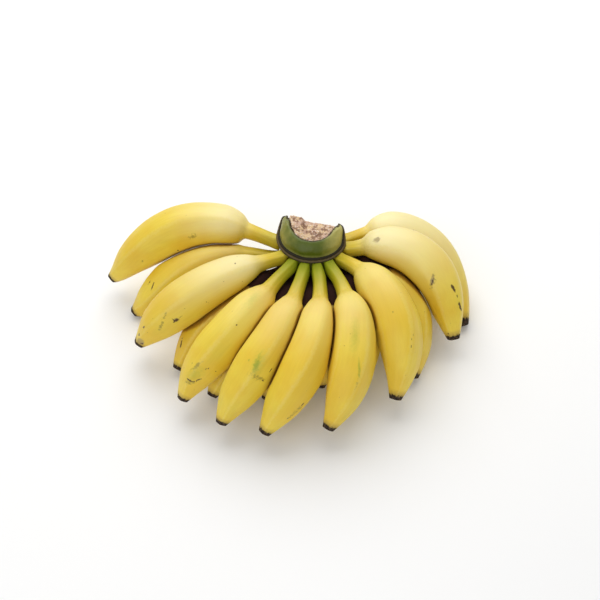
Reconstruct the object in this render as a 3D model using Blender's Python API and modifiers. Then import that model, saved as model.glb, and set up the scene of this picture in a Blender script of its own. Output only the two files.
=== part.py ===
"""A hand of small bananas, lying palm down on its fingertips. Metres, +Z up, front towards -Y.

Sixteen fingers in two rows hang from one crown. Each finger is a pedicel, a fruit and a blossom
scar in one solid, swept along its own line, then pressed flat against its neighbours.
"""

import math

import bmesh
import bpy
import numpy as np

MM = 0.001

# Crown: heights are above the table, and the crown's axis is the plan's zero while it is built
CROWN_RADIUS = 21.3 * MM
CROWN_BOTTOM = 28.0 * MM
SCAR_HEIGHT = 54.2 * MM
SCAR_LIP = 1.2 * MM
RIM_RADIUS = 16.0 * MM
RIM_HEIGHT = 67.0 * MM
RIM_WIDTH = 2.2 * MM
PITH_SINK = 1.0 * MM
CROWN_STEPS = 36

# The cut that took the hand off its stalk: a plane behind the crown
CUT_OFFSET = 14.0 * MM
CUT_HEIGHT = 40.0 * MM
CUT_LEAN = math.radians(24)
CUT_TURN = math.radians(-13)
CUTTER_SIZE = 100.0 * MM

# Fingers
PEDICEL_RADIUS = 4.5 * MM
PEDICEL_START = 23.3 * MM
TALL = 1.06
WIDE = 0.95
CORNERS = 5
CORNER_RISE = 0.035
SECTION_POINTS = 15
GAP = 0.7 * MM
LINE_SAMPLES = 49

# Where a pedicel stops being even and where it meets the fruit, as shares of the fruit's length,
# and how much thicker it is by then
NECK = (-0.12, 0.02, 1.22)
# A fruit's thickness as a share of its girth: SWELL runs over its swelling share, from the pedicel's
# end to the shoulder, BELLY gives the thickest place, as a start and a part of the swelling share to
# add, and FALL runs from the belly to the blossom scar
SWELL = ((0.35, 0.6), (0.65, 0.8), (1.0, 0.91))
BELLY = (0.2, 1.25)
FALL = ((0.0, 1.0), (0.2, 0.955), (0.4, 0.86), (0.6, 0.71), (0.8, 0.485), (0.9, 0.37), (1.0, 0.25))
FRUIT_RINGS = (0.0, 0.04, 0.09, 0.15, 0.23, 0.33, 0.43, 0.53, 0.62, 0.71, 0.79, 0.86, 0.92, 0.965, 1.0)
PEDICEL_RINGS = 3

# Share of the way along a finger, and the share of its reach out from the crown there
WAY = (0.0, 0.2, 0.4, 0.6, 0.8, 1.0)
OUTWARD = (0.0, 0.235, 0.465, 0.68, 0.855, 1.0)
UPPER_HEIGHTS = tuple(h * MM for h in (47.5, 52.5, 51.0, 44.5, 32.5, 16.0))
LOWER_HEIGHTS = tuple(h * MM for h in (35.5, 38.5, 35.0, 26.0, 14.5, 5.4))

# Each finger: its fan angles in degrees at each quarter of its way (0 is the front, minus is
# the left), then in millimetres its reach from the crown's axis, its pedicel's length and its
# girth's radius, and last the share of the fruit over which it swells
FAN_WAY = (0.0, 0.25, 0.5, 0.75, 1.0)
FAN_CURVE = 3
UPPER_ROW = (
    ((-97, -101, -98, -91, -89), 135, 17, 16.0, 0.17),
    ((-55, -57, -58, -60, -62), 126, 15, 14.8, 0.26),
    ((-32, -31, -33, -36, -38), 130, 26, 14.2, 0.25),
    ((-12, -13, -16, -21.5, -24.8), 132, 27, 14.2, 0.26),
    ((8, 4.5, -0.5, -7, -13), 130, 28, 14.7, 0.26),
    ((27, 22.5, 17.7, 11.2, 4.2), 124, 28, 15.1, 0.25),
    ((50, 44.5, 40, 33.5, 26.5), 114, 16, 15.8, 0.25),
    ((74, 78.5, 75.5, 67, 59), 107, 9, 16.5, 0.24),
)
LOWER_ROW = (
    ((-83, -87, -85.5, -80, -79), 122, 18, 14.0, 0.26),
    ((-50, -50, -51, -51, -50), 113, 9, 13.2, 0.22),
    ((-27, -27, -29, -33, -34), 113, 9, 13.0, 0.22),
    ((-3, -5, -8, -14, -17), 99, 9, 13.0, 0.24),
    ((21, 16, 10, 6, 3), 87, 9, 13.0, 0.25),
    ((48, 40, 30, 23, 19), 92, 9, 13.0, 0.24),
    ((74, 70, 60, 50, 39), 102, 8, 14.2, 0.20),
    ((105, 105.5, 99, 86, 71), 107, 15, 16.2, 0.24),
)
# How much higher than its row a finger starts at the crown and ends at the tip, in millimetres.
# The tips of lower fingers 1, 4 and 8 carry the hand, and the other tips hang clear of the table.
LIFTED = {
    "upper_finger_1": (-2.5, 0.0),
    "lower_finger_1": (0.0, -0.75),
    "lower_finger_2": (0.0, 1.2),
    "lower_finger_3": (0.0, 1.2),
    "lower_finger_4": (0.0, -1.25),
    "lower_finger_5": (0.0, 1.2),
    "lower_finger_6": (0.0, 1.2),
    "lower_finger_7": (0.0, 1.2),
    "lower_finger_8": (7.0, -0.1),
}


def clear_scene():
    for obj in list(bpy.data.objects):
        bpy.data.objects.remove(obj)


def collection(name):
    made = bpy.data.collections.new(name)
    bpy.context.scene.collection.children.link(made)
    return made


def material(name, colour, roughness):
    made = bpy.data.materials.new(name)
    made.use_nodes = True
    shader = made.node_tree.nodes["Principled BSDF"]
    shader.inputs["Base Color"].default_value = (*colour, 1)
    shader.inputs["Roughness"].default_value = roughness
    shader.inputs["Metallic"].default_value = 0
    made.diffuse_color = (*colour, 1)
    return made


def smooth_through(xs, ys, x):
    """A curve through the points that never swings past them: a monotone cubic."""
    xs, ys = np.asarray(xs, float), np.asarray(ys, float)
    steps = np.diff(xs)
    slopes = np.diff(ys) / steps
    before, after = slopes[:-1], slopes[1:]
    mean = (before * steps[1:] + after * steps[:-1]) / (steps[1:] + steps[:-1])
    limit = 2 * np.minimum(np.abs(before), np.abs(after))
    inner = np.where(before * after > 0, np.clip(mean, -limit, limit), 0)
    tangents = np.concatenate([slopes[:1], inner, slopes[-1:]])
    x = np.clip(x, xs[0], xs[-1])
    i = np.clip(np.searchsorted(xs, x, side="right") - 1, 0, len(steps) - 1)
    u = (x - xs[i]) / steps[i]
    start = ys[i] * (1 + 2 * u) + u * steps[i] * tangents[i]
    end = ys[i + 1] * (3 - 2 * u) - (1 - u) * steps[i] * tangents[i + 1]
    return start * (1 - u) ** 2 + end * u ** 2


class Finger:
    """One banana: where its line runs and how thick it is along it."""

    def __init__(self, name, heights, fans, reach, pedicel, girth, swell):
        self.name = name
        self.heights = heights
        self.fans = fans
        self.reach = reach * MM
        self.girth = girth * MM
        self.swell = swell
        samples = np.linspace(0, 1, LINE_SAMPLES)
        line = self.point(samples)
        self.length = np.linalg.norm(np.diff(line, axis=0), axis=1).sum()
        self.neck = pedicel * MM / self.length
        self.line, self.radii = line, self.radius(samples)

    def point(self, way):
        fan = np.radians(np.polyval(np.polyfit(FAN_WAY, self.fans, FAN_CURVE), way))
        out = PEDICEL_START + (self.reach - PEDICEL_START) * smooth_through(WAY, OUTWARD, way)
        height = smooth_through(WAY, self.heights, way)
        return np.stack([out * np.sin(fan), -out * np.cos(fan), height], axis=-1)

    def radius(self, way):
        fruit = (way - self.neck) / (1 - self.neck)
        belly = BELLY[0] + BELLY[1] * self.swell
        still, begins, thicker = NECK
        knots = [(still, PEDICEL_RADIUS), (begins, PEDICEL_RADIUS * thicker)]
        knots += [(at * self.swell, part * self.girth) for at, part in SWELL]
        knots += [(belly + at * (1 - belly), part * self.girth) for at, part in FALL]
        return smooth_through(*zip(*knots), fruit)

    def ring_ways(self):
        pedicel = np.linspace(0, self.neck, PEDICEL_RINGS, endpoint=False)
        fruit = self.neck + (1 - self.neck) * np.array(FRUIT_RINGS)
        return np.concatenate([pedicel, fruit])


def section_outline(parent):
    """The finger's rounded five-cornered section, of radius one, as a curve for bevel_object."""
    curve = bpy.data.curves.new("section_outline", "CURVE")
    curve.dimensions = "2D"
    spline = curve.splines.new("POLY")
    spline.points.add(SECTION_POINTS - 1)
    for i, point in enumerate(spline.points):
        turn = 2 * math.pi * i / SECTION_POINTS
        out = 1 + CORNER_RISE * math.cos(CORNERS * turn)
        point.co = (out * math.cos(turn) * WIDE, out * math.sin(turn) * TALL, 0, 1)
    spline.use_cyclic_u = True
    outline = bpy.data.objects.new("section_outline", curve)
    outline.hide_render = True
    outline.display_type = "WIRE"
    parent.objects.link(outline)
    return outline


def swept(finger, outline, parent, skin):
    """The finger as a tube along its line, made a mesh with its caps welded on."""
    curve = bpy.data.curves.new(finger.name, "CURVE")
    curve.dimensions = "3D"
    curve.twist_mode = "Z_UP"
    curve.bevel_mode = "OBJECT"
    curve.bevel_object = outline
    curve.use_fill_caps = True
    ways = finger.ring_ways()
    spline = curve.splines.new("POLY")
    spline.points.add(len(ways) - 1)
    for point, place, radius in zip(spline.points, finger.point(ways), finger.radius(ways)):
        point.co = (*place, 1)
        point.radius = radius
    guide = bpy.data.objects.new(finger.name + "_line", curve)
    parent.objects.link(guide)
    bpy.context.view_layer.update()
    mesh = bpy.data.meshes.new_from_object(guide.evaluated_get(bpy.context.evaluated_depsgraph_get()))
    mesh.name = finger.name
    weld(mesh)
    solid = bpy.data.objects.new(finger.name, mesh)
    solid.matrix_world = guide.matrix_world
    bpy.data.objects.remove(guide)
    parent.objects.link(solid)
    mesh.materials.clear()
    mesh.materials.append(skin)
    return solid


def weld(mesh):
    work = bmesh.new()
    work.from_mesh(mesh)
    bmesh.ops.remove_doubles(work, verts=work.verts, dist=0.01 * MM)
    bmesh.ops.recalc_face_normals(work, faces=work.faces)
    work.to_mesh(mesh)
    work.free()


def nearest(points, finger):
    """For each point, the nearest place on the finger's line and the finger's radius there."""
    start, run = finger.line[:-1], np.diff(finger.line, axis=0)
    along = ((points[:, None] - start) * run).sum(2) / (run * run).sum(1)
    along = np.clip(along, 0, 1)
    places = start + along[..., None] * run
    best = np.argmin(np.linalg.norm(points[:, None] - places, axis=2), axis=1)
    rows = np.arange(len(points))
    share = along[rows, best]
    radius = finger.radii[best] * (1 - share) + finger.radii[best + 1] * share
    return places[rows, best], radius


def crowding(points, own_share, own_radius, others):
    """How far each point is past the halfway surface to the nearest of the other fingers."""
    worst = np.full(len(points), -np.inf)
    for other in others:
        place, radius = nearest(points, other)
        share = np.linalg.norm(points - place, axis=1) / radius
        clear = GAP / 2 * (1 / radius + 1 / own_radius)
        worst = np.maximum(worst, own_share + clear - share)
    return worst


def press(solid, finger, others):
    """Draws in the skin where neighbours meet, so that each pair shares a flattened face."""
    points = np.array([vertex.co for vertex in solid.data.vertices])
    middle, radius = nearest(points, finger)
    spoke = points - middle
    own_share = np.linalg.norm(spoke, axis=1) / radius
    low, high = np.zeros(len(points)), np.ones(len(points))
    free = crowding(points, own_share, radius, others) <= 0
    for _ in range(14):
        half = (low + high) / 2
        inside = crowding(middle + spoke * half[:, None], own_share * half, radius, others) <= 0
        low, high = np.where(inside, half, low), np.where(inside, high, half)
    drawn = np.where(free, 1, low)
    for vertex, place in zip(solid.data.vertices, middle + spoke * drawn[:, None]):
        vertex.co = place


def crown_profile():
    """The outline to turn: from the pith's middle over the rim, down the outside and in below."""
    return (
        (0, RIM_HEIGHT - PITH_SINK),
        (RIM_RADIUS - RIM_WIDTH - 0.8 * MM, RIM_HEIGHT - PITH_SINK),
        (RIM_RADIUS - RIM_WIDTH, RIM_HEIGHT - 0.3 * MM),
        (RIM_RADIUS - 0.6 * MM, RIM_HEIGHT),
        (RIM_RADIUS + 0.8 * MM, RIM_HEIGHT - 1 * MM),
        (RIM_RADIUS + 3.6 * MM, SCAR_HEIGHT + 9 * MM),
        (RIM_RADIUS + 5.2 * MM, SCAR_HEIGHT + 5 * MM),
        (CROWN_RADIUS - 0.6 * MM, SCAR_HEIGHT + 2 * MM),
        (CROWN_RADIUS + SCAR_LIP, SCAR_HEIGHT + 0.5 * MM),
        (CROWN_RADIUS + SCAR_LIP, SCAR_HEIGHT - 0.5 * MM),
        (CROWN_RADIUS, SCAR_HEIGHT - 1.5 * MM),
        (CROWN_RADIUS, CROWN_BOTTOM + 5 * MM),
        (0.85 * CROWN_RADIUS, CROWN_BOTTOM + 1.5 * MM),
        (0.55 * CROWN_RADIUS, CROWN_BOTTOM),
        (0, CROWN_BOTTOM),
    )


def make_crown(parts, cutters, skin):
    """The cushion that carries the fingers: a turned piece, cut off its stalk behind."""
    profile = bpy.data.meshes.new("crown")
    points = [(out, 0, height) for out, height in crown_profile()]
    profile.from_pydata(points, [(i, i + 1) for i in range(len(points) - 1)], [])
    profile.materials.append(skin)
    crown = bpy.data.objects.new("crown", profile)
    parts.objects.link(crown)
    turn = crown.modifiers.new("turn", "SCREW")
    turn.axis = "Z"
    turn.angle = 2 * math.pi
    turn.steps = CROWN_STEPS
    turn.render_steps = CROWN_STEPS
    turn.use_merge_vertices = True
    turn.merge_threshold = 0.05 * MM
    cut = crown.modifiers.new("stalk_cut", "BOOLEAN")
    cut.operation = "DIFFERENCE"
    cut.solver = "EXACT"
    cut.object = stalk_cutter(cutters)
    return crown


def stalk_cutter(cutters):
    """A block whose front face is the plane that the hand was cut off along."""
    work = bmesh.new()
    bmesh.ops.create_cube(work, size=CUTTER_SIZE)
    bmesh.ops.translate(work, verts=work.verts, vec=(0, CUTTER_SIZE / 2, 0))
    block = bpy.data.meshes.new("stalk_cutter")
    work.to_mesh(block)
    work.free()
    cutter = bpy.data.objects.new("stalk_cutter", block)
    cutter.location = (0, CUT_OFFSET, CUT_HEIGHT)
    cutter.rotation_euler = (CUT_LEAN, 0, CUT_TURN)
    cutter.hide_render = True
    cutter.display_type = "WIRE"
    cutters.objects.link(cutter)
    return cutter


def all_fingers():
    fingers = []
    for row, heights, values in (("upper", UPPER_HEIGHTS, UPPER_ROW), ("lower", LOWER_HEIGHTS, LOWER_ROW)):
        for number, (fans, reach, pedicel, girth, swell) in enumerate(values, 1):
            name = f"{row}_finger_{number}"
            start, end = LIFTED.get(name, (0.0, 0.0))
            raised = [h + (start * (1 - at) + end * at) * MM for at, h in zip(WAY, heights)]
            fingers.append(Finger(name, raised, fans, reach, pedicel, girth, swell))
    return fingers


def stand_on_origin(solids):
    """Moves everything so that the middle of the box's underside is the origin."""
    corners = np.array([v.co for solid in solids for v in solid.data.vertices])
    low, high = corners.min(axis=0), corners.max(axis=0)
    shift = -np.array([(low[0] + high[0]) / 2, (low[1] + high[1]) / 2, low[2]])
    for obj in bpy.data.objects:
        obj.location = np.array(obj.location) + shift


def main():
    clear_scene()
    parts = collection("banana_hand")
    cutters = collection("cutters")
    peel = material("banana_peel", (0.66, 0.49, 0.045), 0.5)
    green = material("crown_skin", (0.13, 0.2, 0.02), 0.6)
    outline = section_outline(cutters)
    fingers = all_fingers()
    solids = [swept(finger, outline, parts, peel) for finger in fingers]
    for solid, finger in zip(solids, fingers):
        press(solid, finger, [other for other in fingers if other is not finger])
        solid.data.shade_smooth()
    crown = make_crown(parts, cutters, green)
    stand_on_origin(solids + [crown])


main()
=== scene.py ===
"""Dresses the hand of bananas for its picture: waxy peel, green pedicels, dark blossom scars, and the
crown with its bract scar and its cut, fibrous face."""

import math

import bmesh
import bpy
import numpy as np
from mathutils import Matrix, Vector, noise


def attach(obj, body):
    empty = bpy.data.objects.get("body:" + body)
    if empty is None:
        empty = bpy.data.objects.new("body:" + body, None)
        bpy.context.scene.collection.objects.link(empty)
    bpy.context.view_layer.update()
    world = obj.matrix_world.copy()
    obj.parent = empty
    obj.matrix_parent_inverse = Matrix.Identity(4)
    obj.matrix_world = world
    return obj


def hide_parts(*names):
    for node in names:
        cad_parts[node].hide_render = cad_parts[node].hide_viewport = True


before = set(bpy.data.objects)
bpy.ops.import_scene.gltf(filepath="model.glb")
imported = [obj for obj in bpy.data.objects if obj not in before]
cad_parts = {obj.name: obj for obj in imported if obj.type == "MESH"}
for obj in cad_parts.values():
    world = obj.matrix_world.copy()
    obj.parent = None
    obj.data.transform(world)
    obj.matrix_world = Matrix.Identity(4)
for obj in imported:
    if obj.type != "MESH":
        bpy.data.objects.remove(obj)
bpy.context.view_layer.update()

MM = 0.001

# The foot of the crown's axis. Heights below count from there, which is 1.4 mm under the table
CROWN_AXIS = Vector((15.875, 50.914, -1.367)) * MM

# Camera: it looks down at the hand from the front at 50 degrees
CAMERA_SPOT = tuple(value * MM for value in (7.991, -397.095, 521.223))
CAMERA_TILT = math.radians(40)
SENSOR_WIDTH = 36
FOCAL_LENGTH = 59.36
NEAREST_SEEN = 10 * MM

camera_data = bpy.data.cameras.new("studio_camera")
camera_data.sensor_width = SENSOR_WIDTH
camera_data.lens = FOCAL_LENGTH
camera_data.clip_start = NEAREST_SEEN
camera = bpy.data.objects.new("studio_camera", camera_data)
camera.location = CAMERA_SPOT
camera.rotation_euler = (CAMERA_TILT, 0, 0)
bpy.context.scene.collection.objects.link(camera)
bpy.context.scene.camera = camera


# Small helpers

def colour(hex_value):
    """An sRGB hex value as the linear colour that a socket takes."""
    parts = [int(hex_value[i:i + 2], 16) / 255 for i in (1, 3, 5)]
    linear = [part / 12.92 if part <= 0.04045 else ((part + 0.055) / 1.055) ** 2.4 for part in parts]
    return (*linear, 1)


# Settings for a map range that eases in and out, and for a mix of colours
SOFT = {"interpolation_type": "SMOOTHSTEP"}
BLEND = {"data_type": "RGBA"}


def add(tree, kind, inputs, **settings):
    """Adds a shader node. `inputs` gives each socket a value, or the socket or node that feeds it."""
    node = tree.nodes.new("ShaderNode" + kind)
    for name, value in settings.items():
        setattr(node, name, value)
    for name, value in inputs.items():
        if isinstance(value, bpy.types.Node):
            value = value.outputs[0]
        if isinstance(value, bpy.types.NodeSocket):
            tree.links.new(value, node.inputs[name])
        else:
            node.inputs[name].default_value = value
    return node


def new_material(name):
    """A material with its node tree and its shader."""
    made = bpy.data.materials.new(name)
    made.use_nodes = True
    return made, made.node_tree, made.node_tree.nodes["Principled BSDF"]


def smooth_step(low, high, value):
    """Rises softly from 0 at `low` to 1 at `high`, which may be the smaller one."""
    share = np.clip((value - low) / (high - low), 0, 1)
    return share * share * (3 - 2 * share)


def stamp(mesh, name, values):
    """Keeps one number, or one vector, for each vertex, for the material to read."""
    values = np.asarray(values, np.float32)
    kind, field = ("FLOAT_VECTOR", "vector") if values.ndim == 2 else ("FLOAT", "value")
    mesh.attributes.new(name, kind, "POINT").data.foreach_set(field, values.ravel())


def places_of(mesh):
    """The places of a mesh's vertices, one row each."""
    spots = np.empty(len(mesh.vertices) * 3, np.float32)
    mesh.vertices.foreach_get("co", spots)
    return spots.reshape(-1, 3).astype(float)


def place(mesh, spots):
    """Moves a mesh's vertices to these places."""
    mesh.vertices.foreach_set("co", np.asarray(spots, np.float32).ravel())
    mesh.update()


def wobble(spots, grain, seed):
    """Soft noise from about -1 to 1 at each place."""
    offset = Vector((seed * 7.3, seed * 3.1, seed * 5.7))
    return np.array([noise.noise(Vector(spot) / grain + offset) for spot in spots])


def waves(spots, layers):
    """Adds up layers of noise, each given by its height, its grain and its seed."""
    return sum(height * wobble(spots, grain, seed) for height, grain, seed in layers)


def finished(work, name, material):
    """The bmesh as a smooth piece, at the origin, with its normals outwards."""
    bmesh.ops.recalc_face_normals(work, faces=work.faces)
    mesh = bpy.data.meshes.new(name)
    work.to_mesh(mesh)
    work.free()
    mesh.materials.append(material)
    mesh.shade_smooth()
    piece = bpy.data.objects.new(name, mesh)
    bpy.context.scene.collection.objects.link(piece)
    return piece


# Fingers: the same lines and girths as the solids

PEDICEL_RADIUS = 4.5 * MM
# How far from the crown's axis a finger's line starts, and how many points stand for the line
PEDICEL_START = 23.3 * MM
LINE_SAMPLES = 49
# The cross-section is a little taller than wide and has five soft corners
TALL = 1.06
WIDE = 0.95
CORNERS = 5
# What neighbours that press together leave between them, and how near they come to count as touching
GAP = 0.7 * MM
TOUCHING = 3 * MM

# The radius along the fruit: the pedicel's up to NECK's first share, and at its second share that
# times its third number. SWELL gives shares of the swelling run and of the girth. The girth is full at
# BELLY, a share plus a multiple of the swelling run, and FALL gives shares of the way on to the tip
NECK = (-0.12, 0.02, 1.22)
SWELL = ((0.35, 0.6), (0.65, 0.8), (1.0, 0.91))
BELLY = (0.2, 1.25)
FALL = ((0.0, 1.0), (0.2, 0.955), (0.4, 0.86), (0.6, 0.71), (0.8, 0.485), (0.9, 0.37), (1.0, 0.25))
# How far out and how high a finger's line is at each fifth of its way
WAY = (0.0, 0.2, 0.4, 0.6, 0.8, 1.0)
OUTWARD = (0.0, 0.235, 0.465, 0.68, 0.855, 1.0)
UPPER_HEIGHTS = tuple(h * MM for h in (47.5, 52.5, 51.0, 44.5, 32.5, 16.0))
LOWER_HEIGHTS = tuple(h * MM for h in (35.5, 38.5, 35.0, 26.0, 14.5, 5.4))
# Where the fan angles stand, and the degree of the curve through them
FAN_WAY = (0.0, 0.25, 0.5, 0.75, 1.0)
FAN_CURVE = 3

# Each finger's fan angles in degrees, then its reach, pedicel length and full radius in millimetres,
# and the share of the fruit over which it swells
UPPER_ROW = (
    ((-97, -101, -98, -91, -89), 135, 17, 16.0, 0.17),
    ((-55, -57, -58, -60, -62), 126, 15, 14.8, 0.26),
    ((-32, -31, -33, -36, -38), 130, 26, 14.2, 0.25),
    ((-12, -13, -16, -21.5, -24.8), 132, 27, 14.2, 0.26),
    ((8, 4.5, -0.5, -7, -13), 130, 28, 14.7, 0.26),
    ((27, 22.5, 17.7, 11.2, 4.2), 124, 28, 15.1, 0.25),
    ((50, 44.5, 40, 33.5, 26.5), 114, 16, 15.8, 0.25),
    ((74, 78.5, 75.5, 67, 59), 107, 9, 16.5, 0.24),
)
LOWER_ROW = (
    ((-83, -87, -85.5, -80, -79), 122, 18, 14.0, 0.26),
    ((-50, -50, -51, -51, -50), 113, 9, 13.2, 0.22),
    ((-27, -27, -29, -33, -34), 113, 9, 13.0, 0.22),
    ((-3, -5, -8, -14, -17), 99, 9, 13.0, 0.24),
    ((21, 16, 10, 6, 3), 87, 9, 13.0, 0.25),
    ((48, 40, 30, 23, 19), 92, 9, 13.0, 0.24),
    ((74, 70, 60, 50, 39), 102, 8, 14.2, 0.20),
    ((105, 105.5, 99, 86, 71), 107, 15, 16.2, 0.24),
)
# How much higher than its row a finger starts and ends, in millimetres
LIFTED = {
    "upper_finger_1": (-2.5, 0.0),
    "lower_finger_1": (0.0, -0.75),
    "lower_finger_2": (0.0, 1.2),
    "lower_finger_3": (0.0, 1.2),
    "lower_finger_4": (0.0, -1.25),
    "lower_finger_5": (0.0, 1.2),
    "lower_finger_6": (0.0, 1.2),
    "lower_finger_7": (0.0, 1.2),
    "lower_finger_8": (7.0, -0.1),
}

# How green a finger's pedicel is at the crown; the green runs on for GREEN_RUN pedicel lengths
GREEN = {
    "upper_finger_1": 0.4,
    "upper_finger_2": 0.4,
    "upper_finger_7": 0.5,
    "upper_finger_8": 0.35,
    "lower_finger_1": 0.5,
    "lower_finger_8": 0.3,
}
MOST_GREEN = 1.1
GREEN_RUN = 1.5
SHORTEST_RUN = 20 * MM
# The painted highlight on a finger's upper side: how strong it is, and where past the pedicel it ends
PAINTED_HIGHLIGHT = {
    "upper_finger_1": (0.8, 55 * MM),
    "upper_finger_2": (0.85, 75 * MM),
    "upper_finger_8": (0.95, 80 * MM),
    "lower_finger_8": (1.0, 110 * MM),
}
FAINT_PAINTED_HIGHLIGHT = (0.3, 55 * MM)
# It rises between these distances past the pedicel, fades out from the next, and keeps to the top
HIGHLIGHT_START = (-4 * MM, 12 * MM)
HIGHLIGHT_FULL = 8 * MM
HIGHLIGHT_SIDES = (-0.2, 0.9)
# The painted shade between the rows ends between these distances from the crown's axis, and keeps to the top
# too
GAP_SHADE_END = (62 * MM, 50 * MM)
GAP_SHADE_SIDES = (-0.3, 0.2)
# How close to a neighbour, as a share of the girth, the painted shade where fingers press together starts
CONTACT_SHADE_EDGE = 0.05

# Mesh fineness: vertices round a finger, rings along it, and how many of these close each end
SIDES = 80
RINGS = 150
CAP_RINGS = 7
# Rounds of halving that find a flattened face, and rounds that ease its edge
BISECTIONS = 10
EASING = 10
# Values for a neighbour that isn't near and for a place that no mark reaches
NOT_NEAR = -9.0
NOT_MARKED = -2.0
# How far a pedicel runs on into the crown, how much it flares there and over what length
ROOT = 3.2 * MM
FLARE = 0.16
FLARE_RUN = 3 * MM
# The blossom scar: rise past the finger's end in millimetres, and share of the end's radius
BLOSSOM_SCAR = (
    (0.25, 0.99), (0.45, 0.90), (0.5, 0.74), (0.15, 0.60), (0.1, 0.40), (0.45, 0.24), (0.6, 0.0),
)
# The corners rise by a share of the girth, with more towards the tip and on the pedicel
CORNER_RISE = 0.022
TIP_RISE = 0.022
TIP_RUN = (0.35, 0.95)
PEDICEL_RISE = 0.02
# This much of a second, twice as fine wave flattens the faces between the corners
FLATTENING = 0.28
# How far the corners are turned, one value after the other
TURNED = tuple(math.radians(degrees) for degrees in (-27, -20, -34, -24, -30, -18, -36))
# Uneven growth: share of the girth, grain, and what is added to the finger's own seed
GROWTH = ((0.022, 24 * MM, 0), (0.006, 7 * MM, 50))
FIRST_SEED = 3.0
# The step that shows a line's direction, and the lowest that a peel may reach
STEP_ALONG = 0.005
ABOVE_TABLE = 0.02 * MM
# The metres between two fingers' places in the patterns, so that no two look the same
PATTERN_STEP = 0.5


def smooth_through(xs, ys, x):
    """A curve through the points that never swings past them: a monotone cubic."""
    xs, ys = np.asarray(xs, float), np.asarray(ys, float)
    steps = np.diff(xs)
    slopes = np.diff(ys) / steps
    before, after = slopes[:-1], slopes[1:]
    mean = (before * steps[1:] + after * steps[:-1]) / (steps[1:] + steps[:-1])
    limit = 2 * np.minimum(np.abs(before), np.abs(after))
    inner = np.where(before * after > 0, np.clip(mean, -limit, limit), 0)
    tangents = np.concatenate([slopes[:1], inner, slopes[-1:]])
    x = np.clip(x, xs[0], xs[-1])
    i = np.clip(np.searchsorted(xs, x, side="right") - 1, 0, len(steps) - 1)
    u = (x - xs[i]) / steps[i]
    start = ys[i] * (1 + 2 * u) + u * steps[i] * tangents[i]
    end = ys[i + 1] * (3 - 2 * u) - (1 - u) * steps[i] * tangents[i + 1]
    return start * (1 - u) ** 2 + end * u ** 2


class Finger:
    """One banana: where its line runs and how thick it is along it."""

    def __init__(self, name, heights, fans, reach, pedicel, girth, swell):
        self.name = name
        self.heights = heights
        self.fans = fans
        self.reach = reach * MM
        self.girth = girth * MM
        self.swell = swell
        samples = np.linspace(0, 1, LINE_SAMPLES)
        self.line = self.on_line(samples)
        self.length = np.linalg.norm(np.diff(self.line, axis=0), axis=1).sum()
        self.neck = pedicel * MM / self.length
        self.radii = self.radius(samples)

    def on_line(self, way):
        """A place on the line, from 0 at the crown to 1 at the tip."""
        fan = np.radians(np.polyval(np.polyfit(FAN_WAY, self.fans, FAN_CURVE), way))
        out = PEDICEL_START + (self.reach - PEDICEL_START) * smooth_through(WAY, OUTWARD, way)
        height = smooth_through(WAY, self.heights, way)
        return np.stack([out * np.sin(fan), -out * np.cos(fan), height], axis=-1) + np.array(CROWN_AXIS)

    def point(self, way):
        """A place on the line, or straight on past either end of it."""
        way = np.asarray(way, float)[..., None]
        ends = np.array([self.line[1] - self.line[0], self.line[-1] - self.line[-2]])
        ahead = ends / np.linalg.norm(ends, axis=1, keepdims=True)
        past = (way - np.clip(way, 0, 1)) * self.length
        return self.on_line(np.clip(way[..., 0], 0, 1)) + past * np.where(way < 0.5, ahead[0], ahead[1])

    def radius(self, way):
        """The radius at a place on the line."""
        fruit = (way - self.neck) / (1 - self.neck)
        belly = BELLY[0] + BELLY[1] * self.swell
        still, begins, thicker = NECK
        knots = [(still, PEDICEL_RADIUS), (begins, PEDICEL_RADIUS * thicker)]
        knots += [(at * self.swell, part * self.girth) for at, part in SWELL]
        knots += [(belly + at * (1 - belly), part * self.girth) for at, part in FALL]
        return smooth_through(*zip(*knots), fruit)


def all_fingers():
    """Both rows, left to right."""
    fingers = []
    for row, heights, values in (("upper", UPPER_HEIGHTS, UPPER_ROW), ("lower", LOWER_HEIGHTS, LOWER_ROW)):
        for number, (fans, reach, pedicel, girth, swell) in enumerate(values, 1):
            name = f"{row}_finger_{number}"
            start, end = LIFTED.get(name, (0.0, 0.0))
            raised = [h + (start * (1 - at) + end * at) * MM for at, h in zip(WAY, heights)]
            fingers.append(Finger(name, raised, fans, reach, pedicel, girth, swell))
    return fingers


def nearest(points, finger):
    """For each point, the nearest place on the finger's line and the finger's radius there."""
    start, run = finger.line[:-1], np.diff(finger.line, axis=0)
    along = ((points[:, None] - start) * run).sum(2) / (run * run).sum(1)
    along = np.clip(along, 0, 1)
    spots = start + along[..., None] * run
    best = np.argmin(((points[:, None] - spots) ** 2).sum(2), axis=1)
    rows = np.arange(len(points))
    share = along[rows, best]
    radius = finger.radii[best] * (1 - share) + finger.radii[best + 1] * share
    return spots[rows, best], radius


def crowding(points, own_share, own_radius, other):
    """How far each point is past the halfway surface to another finger."""
    spot, radius = nearest(points, other)
    share = np.linalg.norm(points - spot, axis=1) / radius
    return own_share + GAP / 2 * (1 / radius + 1 / own_radius) - share


def close_by(finger, others):
    """The other fingers that come near enough to touch."""
    touching = []
    for other in others:
        apart = np.linalg.norm(finger.line[:, None] - other.line, axis=2)
        if (apart - finger.radii[:, None] - other.radii).min() < TOUCHING:
            touching.append(other)
    return touching


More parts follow.
